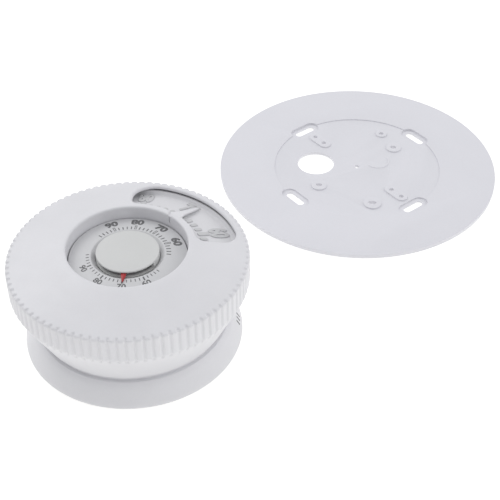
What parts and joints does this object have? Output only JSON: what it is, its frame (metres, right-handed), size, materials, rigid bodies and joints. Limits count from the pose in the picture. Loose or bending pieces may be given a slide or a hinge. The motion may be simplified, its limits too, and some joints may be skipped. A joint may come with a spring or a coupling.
{
  "type": "wall thermostat",
  "caption": "Round white wall thermostat with a knurled turning ring, touch window, dial with red thermometer needle, flared base and a loose round cover plate.",
  "frame": {"origin": "centre of the wall plate's back face, on the wall", "axes": "+Z out of the wall along the ring's axis, +Y up the wall, +X to the right as one faces the wall; the cover plate lies beside the thermostat on the same plane"},
  "size_m": [0.191, 0.2916, 0.0531],
  "materials": {
    "white_shell": "satin moulded",
    "white_dial": "satin moulded with printed scales",
    "white_scale": "satin moulded with raised figures",
    "white_cover": "fine matte moulded",
    "grey_plastic": "matte moulded",
    "black_plastic": "matte moulded",
    "relay_plastic": "semi-gloss moulded",
    "board": "solder mask",
    "track": "phenolic with a carbon track",
    "brass": "plain",
    "bronze": "spring bronze",
    "steel": "zinc plated",
    "aluminium": "drawn can",
    "needle_red": "red paint",
    "sensor_black": "epoxy bead"
  },
  "bodies": {
    "wall_plate": {"wall_plate": "grey_plastic", "terminal_block_upper": "black_plastic", "terminal_block_lower": "black_plastic", "terminal_screw_1": "brass", "terminal_screw_2": "brass", "terminal_screw_3": "brass", "terminal_screw_4": "brass", "terminal_screw_5": "brass", "terminal_screw_6": "brass"},
    "thermostat": {"base_skirt": "white_shell", "chassis": "grey_plastic", "circuit_board": "board", "heat_relay": "relay_plastic", "cool_relay": "relay_plastic", "capacitor_1": "aluminium", "capacitor_2": "aluminium", "capacitor_3": "aluminium", "microcontroller": "black_plastic", "thermistor": "sensor_black", "contact_pin_1": "brass", "contact_pin_2": "brass", "contact_pin_3": "brass", "contact_pin_4": "brass", "contact_pin_5": "brass", "contact_pin_6": "brass", "case_screw_1": "steel", "case_screw_2": "steel", "case_screw_3": "steel", "track_board": "track", "keeper_ring": "steel", "keeper_screw_1": "steel", "keeper_screw_2": "steel", "keeper_screw_3": "steel", "detent_spring": "steel", "window_scale": "white_scale", "dial_face": "white_dial", "centre_cap": "white_dial", "bimetal_coil": "bronze", "coil_bracket": "steel", "arbor_bearing": "brass"},
    "set_ring": {"grip_ring": "white_shell", "ring_hub": "grey_plastic", "wiper": "bronze"},
    "thermometer_needle": {"needle": "needle_red", "needle_arbor": "brass"},
    "cover": {"cover_plate": "white_cover"}
  },
  "joints": [
    {"name": "thermostat_lift_off", "type": "slide", "parent": "wall_plate", "child": "thermostat", "axis": [0, 0, 1], "range_m": [0, 0.05]},
    {"name": "set_ring_turn", "type": "hinge", "parent": "thermostat", "child": "set_ring", "pos_m": [0, 0, 0.04], "axis": [0, 0, 1], "range_deg": [-50, 88]},
    {"name": "needle_turn", "type": "hinge", "parent": "thermostat", "child": "thermometer_needle", "pos_m": [0, 0, 0.048], "axis": [0, 0, 1], "range_deg": [-86, 54]},
    {"name": "cover_lift", "type": "slide", "parent": "wall_plate", "child": "cover", "axis": [0, 0, 1], "range_m": [0, 0.06]}
  ]
}
